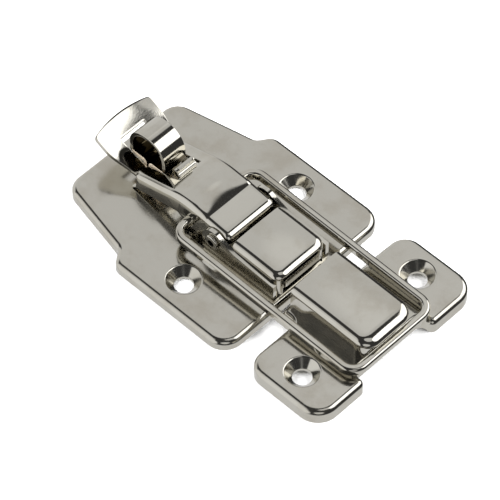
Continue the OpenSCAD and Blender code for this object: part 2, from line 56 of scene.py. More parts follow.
# Corners of the two plates as x, y and rounding, and of the lever's upper side as x, z and rounding.
# These and the lengths after them are in millimetres.
BASE_HALF = ((22.4, 28.6, 5.5), (-15.9, 28.6, 3.5), (-18.7, 24.6, 2.5), (-42.5, 19.4, 5.0))
CATCH_HALF = (
    (50.0, 12.0, 2.0),
    (54.0, 12.0, 1.6),
    (54.0, 28.5, 6.0),
    (29.3, 28.5, 5.0),
    (29.3, 11.0, 2.0),
    (24.5, 11.0, 1.6),
)
LEVER_PATH = (
    (4.3, 9.6, 0),
    (4.3, 12.3, 2.2),
    (-3.8, 13.1, 0.6),
    (-10.77, 15.364, 20.0),
    (-29.34, 8.823, 2.0),
    (-34.0, 9.984, 45.0),
    (-39.8, 12.327, 130.0),
    (-43.4, 13.968, 0),
)
# Half of the padlock eye's outer face as x from its middle, z and rounding, up from a foot below the plate
EYE_HALF = ((4.0, 2.2, 0), (1.4, 2.2, 0.3), (1.4, 9.0, 0.3), (6.3, 9.0, 1.6), (6.3, 19.4, 6.3))

# Where the eye's painted shade and its bare cut edge begin, each as the start and end of a soft step: the
# distance from its middle line, the distance across the strip and two heights
EYE_OUTSIDE = (5.4, 5.7)
EYE_CUT_EDGE = (3.5, 3.65)
EYE_LOW = (12.1, 12.7)
EYE_BOTTOM = (10.2, 10.5)
BARE_METAL_LOSS = 0.75

# Level strips beside a plate's rim and round its dimples, a dimple's foot rounding and the wall below it
RIM_LEVEL = 0.05
DIMPLE_LEVEL = 0.3
FOOT_ROUND = 0.3
HOLE_WALL = 0.9

# Places of the pin and of the loop's bar in the lever as x and z, with their holes and the lugs round them
PIN = (0.0, 9.0)
PIN_HOLE_R = 1.65
PIN_LUG_R = 3.2
BAR = (-9.4, 8.0)
BAR_HOLE_R = 1.45
BAR_LUG_R = 2.7
# Lower edge of the flanges: the step at their end, and two corners on the way to the bar's lug
FLANGE_STEP = (0.5, 2.5)
FLANGE_FOOT = ((-30.0, 3.7), (-13.8, 7.6))
# Lengths over which the lever's crown and its deeper shoulders grow from the crease, and the curl's angle
CROWN_RUN = 4.5
SHOULDER_RUN = 6
CURL_SWEEP = math.radians(125)
LEVER_BEND_STEPS = 48
# Way along a box's rim in which its lower edge changes height at a post
POST_STEP = 0.02
SHARP_FOLD = math.radians(32)
SOFT_EDGE = math.radians(50)
FLOOR_HALF_M = 3.0

# Depth of the grain, waves as a share of it and added roughness, for each material slot and for the eye
PLATING = {
    "nickel_plate": (0.003, 4.0, 0.06),
    "nickel_fold": (0.0035, 2.0, 0.0),
    "nickel_rod": (0.002, 1.0, 0.0),
    "padlock_eye": (0.0018, 3.0, 0.0),
}


class LatchFinish(bpy.types.PropertyGroup):
    """Colours and surface of the nickel plate."""

    nickel: bpy.props.FloatVectorProperty(
        name="Nickel",
        description="Colour of the bright plating",
        subtype="COLOR",
        size=3,
        min=0,
        max=1,
        default=(0.63, 0.61, 0.55),
    )
    tarnish: bpy.props.FloatVectorProperty(
        name="Tarnish",
        description="Colour of the plating where it has dulled a little",
        subtype="COLOR",
        size=3,
        min=0,
        max=1,
        default=(0.56, 0.53, 0.46),
    )
    # Painted shade: this dark brown is painted inside the padlock eye and low on its outer face, standing
    # in for the shade there
    painted_shade: bpy.props.FloatVectorProperty(
        name="Painted shade",
        description="Brown of the padlock eye's inside",
        subtype="COLOR",
        size=3,
        min=0,
        max=1,
        default=(0.06, 0.048, 0.027),
    )
    bare: bpy.props.FloatVectorProperty(
        name="Bare strip",
        description="Colour of the strip's cut edge at the eye's bottom",
        subtype="COLOR",
        size=3,
        min=0,
        max=1,
        default=(0.66, 0.56, 0.43),
    )
    roughness: bpy.props.FloatProperty(
        name="Roughness",
        description="Roughness of the plating where it is clean",
        default=0.07,
        min=0,
        max=1,
        subtype="FACTOR",
    )
    grain_mm: bpy.props.FloatProperty(
        name="Grain size",
        description="Size of the plating's fine grain, in millimetres",
        default=0.26,
        min=0.1,
        max=4,
    )
    waves_mm: bpy.props.FloatProperty(
        name="Wave size",
        description="Size of the sheet's shallow waves, in millimetres",
        default=5,
        min=1,
        max=20,
    )


class LatchSizes(bpy.types.PropertyGroup):
    """Sizes of the pressed sheets, in millimetres."""

    sheet: bpy.props.FloatProperty(name="Sheet", description="Thickness of the pressed sheet", default=1.1)
    edge: bpy.props.FloatProperty(
        name="Edge", description="Width of the softened edge of a cut", default=0.12
    )
    base_height: bpy.props.FloatProperty(
        name="Base height", description="Height of the base plate", default=3.3
    )
    catch_height: bpy.props.FloatProperty(
        name="Catch height", description="Height of the catch plate", default=4.4
    )
    rim_roll: bpy.props.FloatProperty(
        name="Rim roll", description="Radius of the plates' rolled rims", default=1.5
    )
    base_hole_y: bpy.props.FloatProperty(
        name="Base hole", description="Screw hole's distance from the middle", default=20.2
    )
    catch_hole_x: bpy.props.FloatProperty(
        name="Catch hole", description="Place of the catch's holes", default=41
    )
    catch_hole_y: bpy.props.FloatProperty(
        name="Catch hole side", description="Distance from the middle", default=20.7
    )
    mouth: bpy.props.FloatProperty(name="Dimple", description="Radius of a dimple's mouth", default=4.6)
    hole: bpy.props.FloatProperty(name="Hole", description="Radius of a screw hole", default=2.5)
    depth: bpy.props.FloatProperty(name="Depth", description="Depth of a dimple", default=2.1)
    mouth_round: bpy.props.FloatProperty(
        name="Dimple edge", description="Rounding of a dimple's mouth", default=0.7
    )
    lever_half: bpy.props.FloatProperty(
        name="Lever half width", description="Half of the channel's width", default=8.5
    )
    lever_shoulder: bpy.props.FloatProperty(
        name="Shoulder", description="Radius of the lever's shoulders", default=1.6
    )
    shoulder_stretch: bpy.props.FloatProperty(
        name="Shoulder stretch",
        description="Share by which the back's shoulders are deeper than wide",
        default=0.45,
    )
    tab_half: bpy.props.FloatProperty(
        name="Tab half width", description="Half of the flared tab's width", default=9.6
    )
    root_half: bpy.props.FloatProperty(
        name="Root half width", description="Half of the tab's width at its root", default=7.9
    )
    tab_round: bpy.props.FloatProperty(name="Tab end", description="Radius of the tab's end", default=30)
    tab_corner: bpy.props.FloatProperty(
        name="Tab corner", description="Rounding of the tab's corners", default=1
    )
    crown: bpy.props.FloatProperty(
        name="Crown", description="How far the back's edges lie below its middle", default=0.38
    )
    dish: bpy.props.FloatProperty(
        name="Dish", description="How far the tab's edges rise above its middle", default=0.7
    )
    slot_half: bpy.props.FloatProperty(
        name="Slot half width", description="Half of the slot's width", default=4.2
    )
    slot_near: bpy.props.FloatProperty(name="Slot near end", description="From the pivot", default=18.0)
    slot_far: bpy.props.FloatProperty(name="Slot far end", description="From the pivot", default=38.2)
    flange_end: bpy.props.FloatProperty(
        name="Flange end", description="Where the flanges end, from the pivot", default=28.9
    )
    curl_half: bpy.props.FloatProperty(
        name="Curl half width", description="Half of the curl's width", default=3.1
    )
    curl_r: bpy.props.FloatProperty(
        name="Curl", description="Radius of the curl at the slot's near end", default=0.8
    )
    box_half: bpy.props.FloatProperty(
        name="Box half width", description="Half of the cover's and hook's width", default=8.8
    )
    box_shoulder: bpy.props.FloatProperty(
        name="Box shoulder", description="Radius of their side folds", default=2
    )
    box_roll: bpy.props.FloatProperty(name="Box roll", description="Height of their front folds", default=2)
    box_bow: bpy.props.FloatProperty(
        name="Box bow", description="How far their tops fall to the front", default=0.5
    )
    cover_corner: bpy.props.FloatProperty(name="Cover corner", description="Rounding in plan", default=3.3)
    cover_reach: bpy.props.FloatProperty(
        name="Cover fold", description="Length of its front fold", default=2.3
    )
    hook_corner: bpy.props.FloatProperty(name="Hook corner", description="Rounding in plan", default=4.4)
    hook_reach: bpy.props.FloatProperty(
        name="Hook fold", description="Length of its front fold", default=3.3
    )
    box_crown: bpy.props.FloatProperty(
        name="Box crown", description="How far their tops fall to the sides", default=0.25
    )
    cover_far: bpy.props.FloatProperty(
        name="Cover far end", description="Under the lever's lip", default=5.6
    )
    cover_front: bpy.props.FloatProperty(name="Cover front", description="Front of the cover", default=21.7)
    cover_top: bpy.props.FloatProperty(
        name="Cover top", description="Height of the cover's top", default=12.1
    )
    cover_foot: bpy.props.FloatProperty(
        name="Cover foot", description="Height of the cover's lower edge", default=4.45
    )
    flap_foot: bpy.props.FloatProperty(
        name="Flap foot", description="Height of the front flap's edge", default=7.1
    )
    flap_post: bpy.props.FloatProperty(
        name="Post", description="Width of the posts beside the flap", default=1.7
    )
    hook_far: bpy.props.FloatProperty(name="Hook far end", description="Open end of the hook", default=25.6)
    hook_front: bpy.props.FloatProperty(
        name="Hook front", description="Front of the hook's fold", default=51.23
    )
    hook_top: bpy.props.FloatProperty(name="Hook top", description="Height of the hook's top", default=12)
    hook_foot: bpy.props.FloatProperty(
        name="Hook foot", description="Height of the hook's lower edge", default=4.4
    )
    hook_slope: bpy.props.FloatProperty(
        name="Hook slope",
        description="How far the front wall leans back",
        default=math.radians(30),
        subtype="ANGLE",
    )
    eye_x: bpy.props.FloatProperty(name="Eye place", description="Middle of the padlock eye", default=-29.1)
    eye_half: bpy.props.FloatProperty(
        name="Eye half width", description="Half of the eye strip's width", default=3.7
    )


class LatchStage(bpy.types.PropertyGroup):
    """Camera, floor and light."""

    azimuth: bpy.props.FloatProperty(
        name="Azimuth",
        description="Direction the camera stands in",
        default=math.radians(44.15),
        subtype="ANGLE",
    )
    elevation: bpy.props.FloatProperty(
        name="Elevation", description="Height of the camera", default=math.radians(52.37), subtype="ANGLE"
    )
    distance: bpy.props.FloatProperty(
        name="Distance", description="From the camera to the latch", default=0.9154, unit="LENGTH"
    )
    focal_px: bpy.props.FloatProperty(
        name="Focal length", description="In pixels of the image", default=3690.2
    )
    aim: bpy.props.FloatVectorProperty(
        name="Aim",
        description="Point in the middle of the image",
        default=(0.00695, -0.00382, 0.00621),
        subtype="TRANSLATION",
        size=3,
    )
    floor: bpy.props.FloatVectorProperty(
        name="Floor", description="Colour of the floor", subtype="COLOR", size=3, default=(0.9, 0.9, 0.9)
    )


def node(tree, kind, **values):
    """New shader node with its properties and unlinked inputs set."""
    n = tree.nodes.new(kind)
    for key, value in values.items():
        if key in n.inputs:
            n.inputs[key].default_value = value
        else:
            setattr(n, key, value)
    return n


def plating_group():
    """Group that gives bright plating its fine grain, the sheet's shallow waves, dulled patches and
    smudges."""
    tree = bpy.data.node_groups.new("plating", "ShaderNodeTree")
    for name, kind, way in (
        ("Vector", "NodeSocketVector", "INPUT"),
        ("Color", "NodeSocketColor", "INPUT"),
        ("Tarnish", "NodeSocketColor", "INPUT"),
        ("Grain Scale", "NodeSocketFloat", "INPUT"),
        ("Wave Scale", "NodeSocketFloat", "INPUT"),
        ("Wave Share", "NodeSocketFloat", "INPUT"),
        ("Roughness", "NodeSocketFloat", "INPUT"),
        ("Color", "NodeSocketColor", "OUTPUT"),
        ("Roughness", "NodeSocketFloat", "OUTPUT"),
        ("Height", "NodeSocketFloat", "OUTPUT"),
    ):
        tree.interface.new_socket(name=name, in_out=way, socket_type=kind)
    gin = tree.nodes.new("NodeGroupInput")
    gout = tree.nodes.new("NodeGroupOutput")
    link = tree.links.new
    grain = node(tree, "ShaderNodeTexNoise", Detail=1.0, Roughness=0.5)
    link(gin.outputs["Vector"], grain.inputs["Vector"])
    link(gin.outputs["Grain Scale"], grain.inputs["Scale"])
    wave = node(tree, "ShaderNodeTexNoise", Detail=1.0, Roughness=0.4)
    link(gin.outputs["Vector"], wave.inputs["Vector"])
    link(gin.outputs["Wave Scale"], wave.inputs["Scale"])
    height = node(tree, "ShaderNodeMath", operation="MULTIPLY_ADD")
    link(wave.outputs["Fac"], height.inputs[0])
    link(gin.outputs["Wave Share"], height.inputs[1])
    link(grain.outputs["Fac"], height.inputs[2])
    link(height.outputs["Value"], gout.inputs["Height"])
    smudge = node(tree, "ShaderNodeTexNoise", Scale=110.0, Detail=5.0, Roughness=0.6)
    link(gin.outputs["Vector"], smudge.inputs["Vector"])
    patch = node(tree, "ShaderNodeMapRange", interpolation_type="SMOOTHSTEP")
    patch.inputs["From Min"].default_value = 0.42
    patch.inputs["From Max"].default_value = 0.72
    link(smudge.outputs["Fac"], patch.inputs["Value"])
    tint = node(tree, "ShaderNodeMix", data_type="RGBA")
    link(patch.outputs["Result"], tint.inputs["Factor"])
    link(gin.outputs["Color"], tint.inputs["A"])
    link(gin.outputs["Tarnish"], tint.inputs["B"])
    link(tint.outputs["Result"], gout.inputs["Color"])
    total = node(tree, "ShaderNodeMath", operation="MULTIPLY_ADD")
    link(patch.outputs["Result"], total.inputs[0])
    total.inputs[1].default_value = 0.06
    link(gin.outputs["Roughness"], total.inputs[2])
    link(total.outputs["Value"], gout.inputs["Roughness"])
    return tree


def nickel(name, finish, grain, share, added_roughness):
    """Bright nickel: a metal whose colour, roughness and normal come from the plating group."""
    m = bpy.data.materials.new(name)
    m.use_nodes = True
    tree = m.node_tree
    link = tree.links.new
    shader = tree.nodes["Principled BSDF"]
    shader.inputs["Metallic"].default_value = 1
    place = node(tree, "ShaderNodeTexCoord")
    group = node(tree, "ShaderNodeGroup", node_tree=bpy.data.node_groups.get("plating") or plating_group())
    group.inputs["Color"].default_value = (*finish.nickel, 1)
    group.inputs["Tarnish"].default_value = (*finish.tarnish, 1)
    group.inputs["Grain Scale"].default_value = 1 / (finish.grain_mm * MM)
    group.inputs["Wave Scale"].default_value = 1 / (finish.waves_mm * MM)
    group.inputs["Wave Share"].default_value = share
    group.inputs["Roughness"].default_value = finish.roughness + added_roughness
    link(place.outputs["Object"], group.inputs["Vector"])
    link(group.outputs["Color"], shader.inputs["Base Color"])
    link(group.outputs["Roughness"], shader.inputs["Roughness"])
    bump = node(tree, "ShaderNodeBump", Strength=1.0, Distance=grain * MM)
    link(group.outputs["Height"], bump.inputs["Height"])
    link(bump.outputs["Normal"], shader.inputs["Normal"])
    return m


def finish_of(context, name):
    """Nickel of a material slot, made once."""
    made = bpy.data.materials.get("bright_" + name)
    if made:
        return made
    return nickel("bright_" + name, context.scene.latch_finish, *PLATING[name])


def eye_finish(context):
    """Nickel of the padlock eye with painted shade: dark brown painted inside the eye and low on its outer
    face, where shade falls, and a bare cut edge at the eye's bottom. The masks come from the height, the
    place across the strip and the distance to the eye's middle line, which below the line is taken along X
    only."""
    finish, z = context.scene.latch_finish, context.scene.latch_sizes
    m = nickel("eye_nickel", finish, *PLATING["padlock_eye"])
    tree = m.node_tree
    link = tree.links.new
    shader = tree.nodes["Principled BSDF"]
    plated = shader.inputs["Base Color"].links[0].from_socket
    place = node(tree, "ShaderNodeTexCoord")
    apart = node(tree, "ShaderNodeSeparateXYZ")
    link(place.outputs["Object"], apart.inputs["Vector"])

    def math_node(operation, a, b):
        n = node(tree, "ShaderNodeMath", operation=operation)
        for socket, value in zip(n.inputs, (a, b)):
            if isinstance(value, float):
                socket.default_value = value
            else:
                link(value, socket)
        return n.outputs["Value"]

    def step(value, low, high):
        n = node(tree, "ShaderNodeMapRange", interpolation_type="SMOOTHSTEP")
        n.inputs["From Min"].default_value = low * MM
        n.inputs["From Max"].default_value = high * MM
        link(value, n.inputs["Value"])
        return n.outputs["Result"]

    def mixed(factor, a, colour):
        n = node(tree, "ShaderNodeMix", data_type="RGBA")
        n.inputs["B"].default_value = (*colour, 1)
        link(factor, n.inputs["Factor"])
        link(a, n.inputs["A"])
        return n.outputs["Result"]

    middle = EYE_HALF[-1][1] - EYE_HALF[-1][2]
    across = math_node("SUBTRACT", apart.outputs["X"], z.eye_x * MM)
    above = math_node("MAXIMUM", math_node("SUBTRACT", apart.outputs["Z"], middle * MM), 0.0)
    spread = node(tree, "ShaderNodeCombineXYZ")
    link(across, spread.inputs["X"])
    link(above, spread.inputs["Z"])
    length = node(tree, "ShaderNodeVectorMath", operation="LENGTH")
    link(spread.outputs["Vector"], length.inputs[0])
    outer = step(length.outputs["Value"], *EYE_OUTSIDE)
    inner = math_node("SUBTRACT", 1.0, outer)
    cut = step(math_node("ABSOLUTE", apart.outputs["Y"], 0.0), *EYE_CUT_EDGE)
    low = math_node("SUBTRACT", 1.0, step(apart.outputs["Z"], *EYE_LOW))
    bottom = math_node("SUBTRACT", 1.0, step(apart.outputs["Z"], *EYE_BOTTOM))
    # Painted shade: the eye's inside, and its outer face below EYE_LOW, are darkened to brown where shade
    # falls
    shaded_zone = math_node("ADD", inner, math_node("MULTIPLY", outer, low))
    painted_shade = math_node("MULTIPLY", math_node("SUBTRACT", 1.0, cut), shaded_zone)
    bare = math_node("MULTIPLY", math_node("MULTIPLY", cut, inner), bottom)
    link(mixed(bare, mixed(painted_shade, plated, finish.painted_shade), finish.bare), shader.inputs["Base Color"])
    metal = math_node("SUBTRACT", 1.0, math_node("MULTIPLY", bare, BARE_METAL_LOSS))
    link(metal, shader.inputs["Metallic"])
    return m


def joined_sheet_group():
    """Modifier group that joins a node's loose triangles and marks its folds of more than a set angle as
    sharp."""
    tree = bpy.data.node_groups.new("joined_sheet", "GeometryNodeTree")
    tree.is_modifier = True
    for name, kind, way in (
        ("Geometry", "NodeSocketGeometry", "INPUT"),
        ("Sharp Angle", "NodeSocketFloat", "INPUT"),
        ("Geometry", "NodeSocketGeometry", "OUTPUT"),
    ):
        tree.interface.new_socket(name=name, in_out=way, socket_type=kind)
    link = tree.links.new
    gin = tree.nodes.new("NodeGroupInput")
    gout = tree.nodes.new("NodeGroupOutput")
    merge = node(tree, "GeometryNodeMergeByDistance")
    merge.inputs["Distance"].default_value = JOIN_DISTANCE
    smooth = node(tree, "GeometryNodeSetShadeSmooth", domain="FACE")
    angle = node(tree, "GeometryNodeInputMeshEdgeAngle")
    fold = node(tree, "FunctionNodeCompare", operation="GREATER_THAN")
    sharp = node(tree, "GeometryNodeSetShadeSmooth", domain="EDGE")
    sharp.inputs["Shade Smooth"].default_value = False
    link(gin.outputs["Geometry"], merge.inputs["Geometry"])
    link(merge.outputs["Geometry"], smooth.inputs["Geometry"])
    link(smooth.outputs["Geometry"], sharp.inputs["Geometry"])
    link(angle.outputs["Unsigned Angle"], fold.inputs["A"])
    link(gin.outputs["Sharp Angle"], fold.inputs["B"])
    link(fold.outputs["Result"], sharp.inputs["Selection"])
    link(sharp.outputs["Geometry"], gout.inputs["Geometry"])
    return tree


def keep(name, material):
    """Shows a CAD node in a finish; its triangles are joined, its folds kept, and its large faces rule
    the shading."""
    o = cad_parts[name]
    o.data.materials.clear()
    o.data.materials.append(material)
    join = o.modifiers.new("join", "NODES")
    join.node_group = bpy.data.node_groups.get("joined_sheet") or joined_sheet_group()
    socket = join.node_group.interface.items_tree["Sharp Angle"].identifier
    join[socket] = SHARP_FOLD
    shade = o.modifiers.new("shade", "WEIGHTED_NORMAL")
    shade.keep_sharp = True


def smooth(t):
    """Smooth step from 0 to 1, with level ends."""
    t = np.clip(t, 0, 1)
    return t * t * (3 - 2 * t)


def rounded_path(corners, steps, closed):
    """Path through corners of x, y and radius: each corner is an arc about a centre one radius inside
    both of its sides, in equal angles. Returns the points and the heading at each."""
    c = np.asarray(corners, float)
    p, r = c[:, :2], c[:, 2]
    leave = np.roll(p, -1, 0) - p
    leave /= np.linalg.norm(leave, axis=1, keepdims=True)
    enter = np.roll(leave, 1, 0)
    if not closed:
        enter[0] = leave[0]
        leave[-1] = enter[-1]
    bend = np.arctan2(enter[:, 0] * leave[:, 1] - enter[:, 1] * leave[:, 0], (enter * leave).sum(1))
    side = np.sign(bend)
    start = p - (r * np.tan(np.abs(bend) / 2))[:, None] * enter
    centre = start + (side * r)[:, None] * np.stack([-enter[:, 1], enter[:, 0]], 1)
    heading = np.arctan2(enter[:, 1], enter[:, 0])[:, None] + bend[:, None] * np.linspace(0, 1, steps + 1)
    out = heading - side[:, None] * np.pi / 2
    points = centre[:, None] + r[:, None, None] * np.stack([np.cos(out), np.sin(out)], -1)
    points, heading = points.reshape(-1, 2), np.unwrap(heading.reshape(-1))
    return (points, heading) if closed else (points[steps:-steps], heading[steps:-steps])


def grid_faces(rows, columns, keep_quads=None, closed=False):
    """Quads of a grid of points, row by row; a closed grid also joins its last column to its first."""
    i = np.arange(rows * columns).reshape(rows, columns)
    if closed:
        i = np.hstack([i, i[:, :1]])
    q = np.stack([i[:-1, :-1], i[1:, :-1], i[1:, 1:], i[:-1, 1:]], -1)
    return (q if keep_quads is None else q[keep_quads]).reshape(-1, 4)


def flat_fill(loops):
    """Triangles of the flat area inside the first loop and outside the others, which are circles."""
    points = np.concatenate(loops)
    count = np.array([len(q) for q in loops])
    first = np.repeat(np.cumsum(count) - count, count)
    i = np.arange(len(points))
    edges = np.stack([i, first + (i - first + 1) % np.repeat(count, count)], 1)
    made = geometry.delaunay_2d_cdt([Vector(q) for q in points.tolist()], edges.tolist(), [], 2, 1e-7)
    flat, faces = np.array(made[0])[:, :2], np.array(made[2])
    middle = flat[faces].mean(1)
    for circle in loops[1:]:
        centre = circle.mean(0)
        out = np.linalg.norm(middle - centre, axis=1) > np.linalg.norm(circle[0] - centre)
        faces, middle = faces[out], middle[out]
    return flat, faces


def sheet_piece(name, parts, sizes, material):
    """Joins surfaces at their shared edges into one sheet with its face up, and gives it thickness and
    soft edges."""
    points = np.concatenate([v for v, f in parts]) * MM
    start = np.cumsum([0] + [len(v) for v, f in parts])
    faces = [q for (v, f), n in zip(parts, start) for q in (np.asarray(f) + n).tolist()]
    mesh = bpy.data.meshes.new(name)
    mesh.from_pydata(points.tolist(), [], faces)
    mesh.validate()
    bm = bmesh.new()
    bm.from_mesh(mesh)
    bmesh.ops.remove_doubles(bm, verts=bm.verts, dist=JOIN_DISTANCE)
    bmesh.ops.recalc_face_normals(bm, faces=bm.faces)
    if max(bm.faces, key=lambda f: f.calc_center_median().z).normal.z < 0:
        bmesh.ops.reverse_faces(bm, faces=bm.faces)
    bm.to_mesh(mesh)
    bm.free()
    mesh.shade_smooth()
    mesh.materials.append(material)
    o = bpy.data.objects.new(name, mesh)
    bpy.context.scene.collection.objects.link(o)
    thick = o.modifiers.new("sheet", "SOLIDIFY")
    thick.thickness = sizes.sheet * MM
    thick.offset = -1
    soft = o.modifiers.new("edge", "BEVEL")
    soft.width = sizes.edge * MM
    soft.segments = 2
    soft.limit_method = "ANGLE"
    soft.angle_limit = SOFT_EDGE
    shade = o.modifiers.new("shade", "WEIGHTED_NORMAL")
    shade.keep_sharp = True
    return o


def mirrored(half):
    """Whole outline from the corners of its +Y half, given from the near side round to the far side."""
    return np.concatenate([np.array(half), np.array(half)[::-1] * (1, -1, 1)])


def plate_parts(outline, height, hole_x, hole_y, z):
    """Pressed plate. Its rim is a profile, an upright skirt and a quarter circle over it, carried round
    the outline at a depth along the inward normal. Each dimple is a profile, a rounded mouth, a cone and
    a short wall, turned about the hole's axis. A flat area fills what they leave."""
    path, heading = rounded_path(outline, 14, True)
    inward = np.stack([-np.sin(heading), np.cos(heading)], 1)
    a = np.linspace(0, np.pi / 2, 13)
    depth = np.concatenate([[0], z.rim_roll * (1 - np.cos(a)), [z.rim_roll + RIM_LEVEL]])
    level = np.concatenate([[0], height - z.rim_roll * (1 - np.sin(a)), [height]])
    ring = path[None] + depth[:, None, None] * inward[None]
    rim = np.concatenate([ring, np.broadcast_to(level[:, None, None], ring.shape[:2] + (1,))], -1)
    parts = [(rim.reshape(-1, 3), grid_faces(*rim.shape[:2], closed=True))]

    slope = math.atan2(z.depth, z.mouth - z.hole)
    top_r = z.mouth + z.mouth_round * math.tan(slope / 2)
    b = np.linspace(0, slope, 9)
    foot_r = z.hole + FOOT_ROUND
    foot_z = height - z.depth - FOOT_ROUND * math.tan(math.pi / 4 - slope / 2)
    c = np.linspace(slope, np.pi / 2, 6)
    r = np.concatenate(
        [
            [top_r + DIMPLE_LEVEL],
            top_r - z.mouth_round * np.sin(b),
            foot_r - FOOT_ROUND * np.sin(c),
            [z.hole],
        ]
    )
    up = np.concatenate(
        [
            [height],
            height - z.mouth_round * (1 - np.cos(b)),
            foot_z - FOOT_ROUND * (math.sqrt(2) - 1) + FOOT_ROUND * np.cos(c),
            [height - z.depth - HOLE_WALL],
        ]
    )
    turn = np.linspace(0, 2 * np.pi, 96, endpoint=False)
    loops = [ring[-1]]
    for side in (-1, 1):
        x = hole_x + r[:, None] * np.cos(turn)
        y = side * hole_y + r[:, None] * np.sin(turn)
        dimple = np.stack([x, y, np.broadcast_to(up[:, None], x.shape)], -1)
        parts.append((dimple.reshape(-1, 3), grid_faces(*x.shape, closed=True)))
        loops.append(dimple[0, :, :2])
    flat, faces = flat_fill(loops)
    parts.append((np.column_stack([flat, np.full(len(flat), height)]), faces))
    return parts


def lever_parts(z):
    """Lever. Its back is a path from the lip's foot to the tab, and across it each row is a crowned web
    between two shoulders, round at the lip and deeper than wide beyond the crease: a point is the path's
    point less its upward normal times a drop that grows with the square of the width. The tab is the same
    path with the drop turned round into a dish, a flared edge and an end on a circle. The curl is an arc
    above the slot's near edge, and the flanges are flat areas below the shoulders, less two holes."""
    path, heading = rounded_path(LEVER_PATH, LEVER_BEND_STEPS, False)
    run = np.concatenate([[0], np.cumsum(np.linalg.norm(np.diff(path, axis=0), axis=1))])
    count = LEVER_BEND_STEPS + 1
    roll, crease, hump, bend = ((1 + count * k, count * (k + 1)) for k in range(4))

    def reach(x):
        return np.interp(-x, -path[roll[0] :, 0], run[roll[0] :])

    def placed(s, y, drop):
        turn = np.interp(s, run, heading)
        x = np.interp(s, run, path[:, 0]) - np.sin(turn) * drop
        up = np.interp(s, run, path[:, 1]) + np.cos(turn) * drop
        return np.stack([x, np.broadcast_to(y, x.shape), up], -1)

    def rows(*spans):
        return np.unique(np.concatenate([np.linspace(a, b, n) for a, b, n in spans]))[:, None]

    near, far, root = reach(-z.slot_near), reach(-z.slot_far), reach(-z.flange_end)
    web = z.lever_half - z.lever_shoulder
    wide = rows((0, z.curl_half, 7), (z.curl_half, z.slot_half, 3), (z.slot_half, web, 9))[:, 0]
    wide = np.concatenate([-wide[:0:-1], wide])
    in_slot = np.abs(wide[:-1] + wide[1:]) / 2 < z.slot_half

    s = rows(
        (0, run[roll[0]], 3),
        (run[roll[0]], run[roll[1]], 13),
        (run[roll[1]], run[crease[0]], 7),
        (run[crease[0]], run[crease[1]], 7),
        (run[crease[1]], run[hump[1]], 60),
        (run[hump[1]], near, 6),
        (near, root, 14),
    )
    past_crease, past_hump = s - run[crease[0]], s - run[hump[1]]
    crown = z.crown * smooth(past_crease / CROWN_RUN) * (1 - smooth(past_hump / (root - run[hump[1]])))
    a = np.linspace(0, np.pi / 2, 11)[1:]
    arm = web + z.lever_shoulder * np.sin(a)
    deeper = 1 + z.shoulder_stretch * smooth(past_crease / SHOULDER_RUN)
    fall = z.lever_shoulder * (1 - np.cos(a)) * deeper
    y = np.concatenate([-arm[::-1], wide, arm])
    drop = np.concatenate([crown + fall[:, ::-1], crown * (wide / web) ** 2, crown + fall], 1)
    back = placed(s + 0 * drop, y, drop)
    slot_columns = np.concatenate([np.zeros(len(a), bool), in_slot, np.zeros(len(a), bool)])
    kept = ~((s[:-1] > near - 1e-6) & slot_columns)
    parts = [(back.reshape(-1, 3), grid_faces(*back.shape[:2], kept))]

    s = rows((root, run[bend[1]], 11), (run[bend[1]], far, 15))
    t = np.linspace(0, 1, 12)[1:, None]
    end = run[-1]
    flare = smooth((np.concatenate([s, far + 0 * t]) - root) / (far - root))
    half = z.root_half + (z.tab_half - z.root_half) * flare
    share = np.linspace(0, 1, 13)[1:]
    strip = web + (half - web) * share
    y = np.concatenate([-strip[:, ::-1], wide + 0 * half, strip], 1)
    end_y = y[-len(t) :]
    corner = np.clip((np.abs(end_y) - z.tab_half + z.tab_corner) / z.tab_corner, 0, 1)
    short = z.tab_round - np.sqrt(z.tab_round**2 - end_y**2) + z.tab_corner * (1 - np.sqrt(1 - corner**2))
    tail = far + t * (end - short - far)
    along = np.concatenate([s + 0 * y[: len(s)], tail])
    dish = z.dish * smooth((along - root) / (end - root)) * (y / z.tab_half) ** 2
    tab = placed(along, y, -dish)
    slot_columns = np.concatenate([np.zeros(len(share), bool), in_slot, np.zeros(len(share), bool)])
    kept = ~((np.arange(len(along) - 1)[:, None] < len(s) - 1) & slot_columns)
    parts.append((tab.reshape(-1, 3), grid_faces(*tab.shape[:2], kept)))

    turn = np.interp(near, run, heading)
    ahead, above = np.array([np.cos(turn), np.sin(turn)]), np.array([np.sin(turn), -np.cos(turn)])
    centre = np.array([np.interp(near, run, path[:, k]) for k in (0, 1)]) + z.curl_r * above
    b = np.linspace(0, CURL_SWEEP, 14)[:, None]
    lip = centre + z.curl_r * (np.sin(b) * ahead - np.cos(b) * above)
    y = wide[np.abs(wide) < z.curl_half + 1e-6]
    curl = np.stack([lip[:, :1] + 0 * y, 0 * b + y, lip[:, 1:] + 0 * y], -1)
    parts.append((curl.reshape(-1, 3), grid_faces(*curl.shape[:2])))

    def arc(centre, r, first, last, n):
        a = np.radians(np.linspace(first, last, n))
        return np.array(centre) + r * np.stack([np.cos(a), np.sin(a)], 1)

    top = back[:, -1, ::2]
    bar_lug, pin_lug = arc(BAR, BAR_LUG_R, 233, 279, 9), arc(PIN, PIN_LUG_R, 259, 314, 11)
    outline = np.concatenate([top, [top[-1] - FLANGE_STEP], FLANGE_FOOT, bar_lug, pin_lug])
    holes = [arc(PIN, PIN_HOLE_R, 0, 355, 72), arc(BAR, BAR_HOLE_R, 0, 355, 72)]
    flat, faces = flat_fill([outline, *holes])
    for side in (-1, 1):
        wall = np.column_stack([flat[:, 0], np.full(len(flat), side * z.lever_half), flat[:, 1]])
        parts.append((wall, faces))
    return parts


